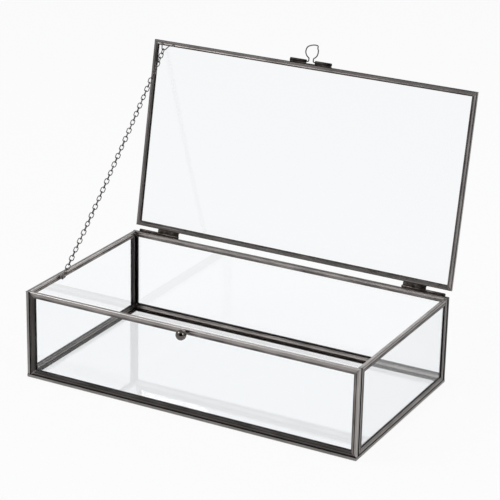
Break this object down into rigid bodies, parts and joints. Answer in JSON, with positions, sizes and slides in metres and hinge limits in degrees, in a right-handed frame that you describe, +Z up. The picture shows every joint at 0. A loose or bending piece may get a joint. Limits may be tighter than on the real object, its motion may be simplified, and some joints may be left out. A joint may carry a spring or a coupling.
{
  "type": "glass display box",
  "caption": "Rectangular glass display box in a soldered metal came frame, with a hinged glass lid held open by a stay chain and a wire loop latch over a ball knob.",
  "frame": {"origin": "middle of the footprint, on the surface that the box stands on", "axes": "+X along the length, to the right seen from the front; +Y to the hinges at the back; +Z up. The lid is modelled open."},
  "size_m": [0.3, 0.2178, 0.2568],
  "materials": {
    "glass": "clear float glass, 2 mm",
    "came": "dark pewter patina, satin",
    "fittings": "dark antique patina",
    "chain": "dark plated wire",
    "knob": "gloss black",
    "solder": "dull solder, patinated"
  },
  "bodies": {
    "base": {"back_came_bottom": "came", "back_came_left": "came", "back_came_right": "came", "back_came_top": "came", "back_glass": "glass", "bottom_came_front": "came", "bottom_came_left": "came", "bottom_came_rear": "came", "bottom_came_right": "came", "bottom_glass": "glass", "chain_eye": "chain", "corner_solder": "solder", "front_came_bottom": "came", "front_came_left": "came", "front_came_right": "came", "front_came_top": "came", "front_glass": "glass", "hinge_left_base_leaf": "fittings", "hinge_left_pin": "fittings", "hinge_right_base_leaf": "fittings", "hinge_right_pin": "fittings", "knob": "knob", "knob_solder_pad": "solder", "left_came_bottom": "came", "left_came_front": "came", "left_came_rear": "came", "left_came_top": "came", "left_glass": "glass", "right_came_bottom": "came", "right_came_front": "came", "right_came_rear": "came", "right_came_top": "came", "right_glass": "glass"},
    "lid": {"chain_bail": "chain", "chain_bail_solder": "solder", "hinge_left_lid_leaf": "fittings", "hinge_right_lid_leaf": "fittings", "latch_leaf": "fittings", "lid_came_front": "came", "lid_came_left": "came", "lid_came_rear": "came", "lid_came_right": "came", "lid_glass": "glass"},
    "latch_loop": {"latch_loop": "fittings"},
    "run_01": {"chain_links_01": "chain"},
    "run_02": {"chain_links_02": "chain"},
    "run_03": {"chain_links_03": "chain"},
    "run_04": {"chain_links_04": "chain"},
    "run_05": {"chain_links_05": "chain"},
    "run_06": {"chain_links_06": "chain"},
    "run_07": {"chain_links_07": "chain"},
    "run_08": {"chain_links_08": "chain"},
    "run_09": {"chain_links_09": "chain"}
  },
  "joints": [
    {"name": "lid_hinge", "type": "hinge", "parent": "base", "child": "lid", "pos_m": [0, 0.0855, 0.07615], "axis": [1, 0, 0], "range_deg": [0, 100.8]},
    {"name": "latch_swing", "type": "hinge", "parent": "lid", "child": "latch_loop", "pos_m": [0, 0.11897, 0.24253], "axis": [1, 0, 0], "range_deg": [-120, 72]},
    {"name": "chain_bend_10", "type": "hinge", "parent": "lid", "child": "run_09", "pos_m": [0, 0.11398, 0.23333], "axis": [1, 0, 0], "range_deg": [-15.35, 0]},
    {"name": "chain_bend_09", "type": "hinge", "parent": "run_09", "child": "run_08", "pos_m": [0, 0.09762, 0.21502], "axis": [1, 0, 0], "range_deg": [-90.08, 0]},
    {"name": "chain_bend_08", "type": "hinge", "parent": "run_08", "child": "run_07", "pos_m": [0, 0.08108, 0.19681], "axis": [1, 0, 0], "range_deg": [0, 89.78]},
    {"name": "chain_bend_07", "type": "hinge", "parent": "run_07", "child": "run_06", "pos_m": [0, 0.0644, 0.17874], "axis": [1, 0, 0], "range_deg": [0, 68.12]},
    {"name": "chain_bend_06", "type": "hinge", "parent": "run_06", "child": "run_05", "pos_m": [0, 0.04756, 0.1608], "axis": [1, 0, 0], "range_deg": [-106.97, 0]},
    {"name": "chain_bend_05", "type": "hinge", "parent": "run_05", "child": "run_04", "pos_m": [0, 0.03058, 0.143], "axis": [1, 0, 0], "range_deg": [0, 94.64]},
    {"name": "chain_bend_04", "type": "hinge", "parent": "run_04", "child": "run_03", "pos_m": [0, 0.01346, 0.12534], "axis": [1, 0, 0], "range_deg": [0, 90.31]},
    {"name": "chain_bend_03", "type": "hinge", "parent": "run_03", "child": "run_02", "pos_m": [0, -0.00381, 0.10782], "axis": [1, 0, 0], "range_deg": [0, 37.98]},
    {"name": "chain_bend_02", "type": "hinge", "parent": "run_02", "child": "run_01", "pos_m": [0, -0.02122, 0.09044], "axis": [1, 0, 0], "range_deg": [-14.85, 0]}
  ],
  "couplings": [
    {"joint": "chain_bend_10", "follows": "lid_hinge", "ratio": -0.14238},
    {"joint": "chain_bend_09", "follows": "lid_hinge", "ratio": -0.88377},
    {"joint": "chain_bend_08", "follows": "lid_hinge", "ratio": 0.88074},
    {"joint": "chain_bend_07", "follows": "lid_hinge", "ratio": 0.66584},
    {"joint": "chain_bend_06", "follows": "lid_hinge", "ratio": -1.0513},
    {"joint": "chain_bend_05", "follows": "lid_hinge", "ratio": 0.92902},
    {"joint": "chain_bend_04", "follows": "lid_hinge", "ratio": 0.88606},
    {"joint": "chain_bend_03", "follows": "lid_hinge", "ratio": 0.36688},
    {"joint": "chain_bend_02", "follows": "lid_hinge", "ratio": -0.13738}
  ]
}
